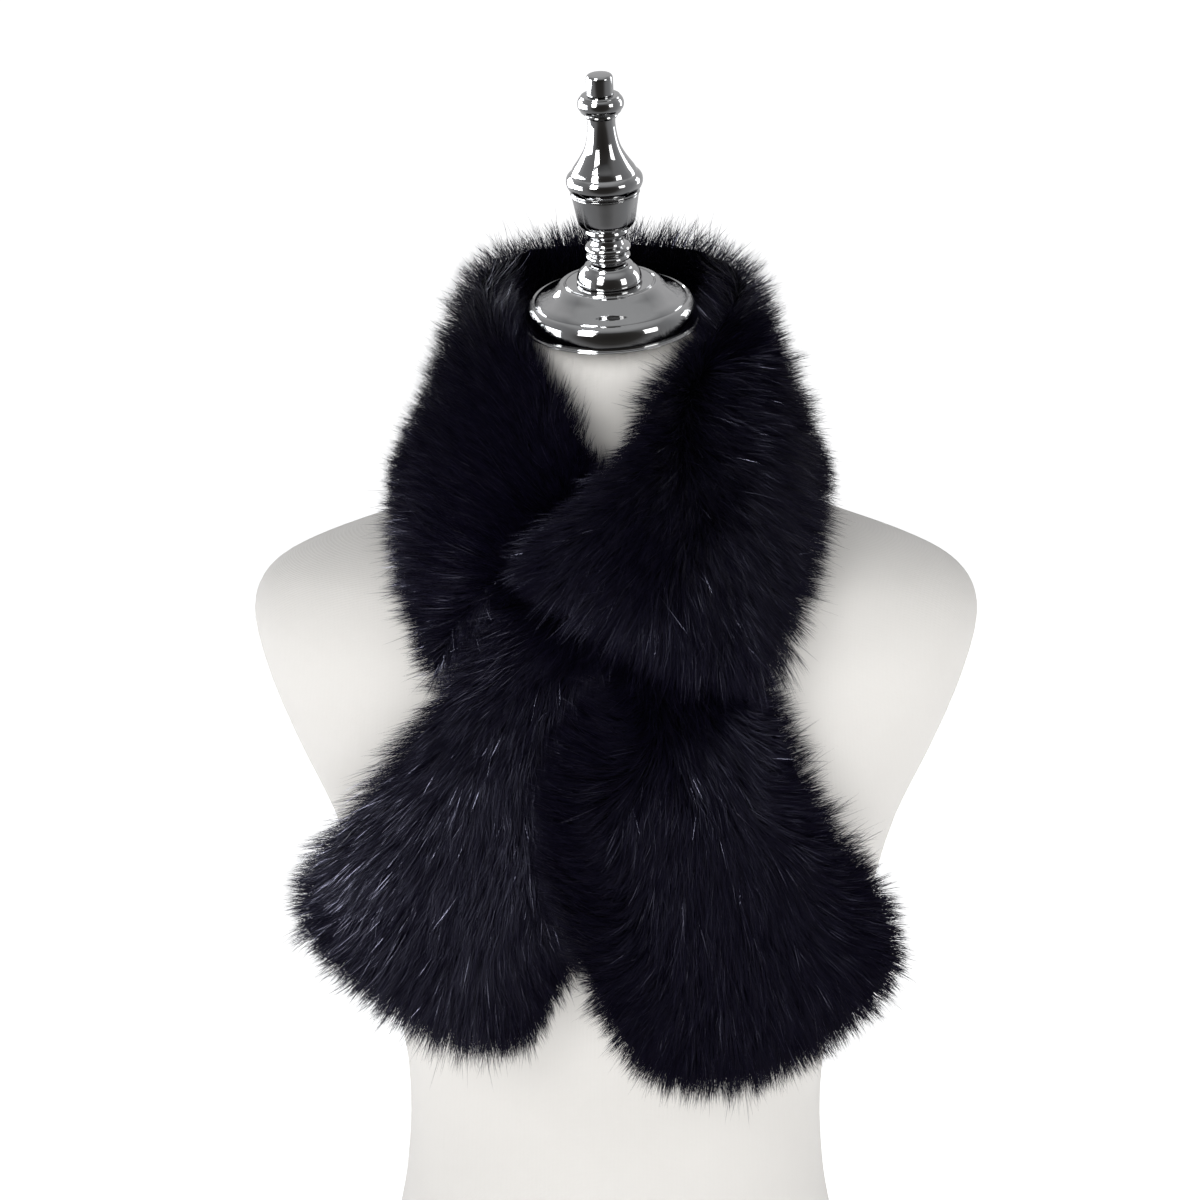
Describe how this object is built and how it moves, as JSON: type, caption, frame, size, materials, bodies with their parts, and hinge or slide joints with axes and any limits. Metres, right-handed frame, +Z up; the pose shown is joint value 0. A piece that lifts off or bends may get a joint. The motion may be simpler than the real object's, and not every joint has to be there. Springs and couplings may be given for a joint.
{
  "type": "fur collar wrap on a limbless dress form",
  "caption": "Long-pile black faux-fur collar wrap, crossed through its own slot, on a limbless off-white cloth dress form with a polished metal neck cap and turned finial.",
  "frame": {"origin": "middle of the dress form's flat underside", "axes": "+Z up, -Y towards the front where the wrap crosses, +X towards the viewer's right as seen from the front"},
  "size_m": [0.398, 0.2634, 0.7604],
  "materials": {
    "fur": "long soft pile with a faint blue-grey sheen",
    "form_cloth": "matt, fine plain weave",
    "polished_metal": "mirror polish"
  },
  "bodies": {
    "root": {"form_torso": "form_cloth", "cap_disc": "polished_metal", "cap_dome": "polished_metal", "finial_rings": "polished_metal", "finial_cup": "polished_metal", "finial_bell": "polished_metal", "finial_band": "polished_metal", "finial_bulb": "polished_metal", "finial_button": "polished_metal", "wrap_right": "fur", "wrap_back": "fur", "wrap_left": "fur", "tail_left": "fur", "tail_right": "fur"}
  },
  "joints": []
}
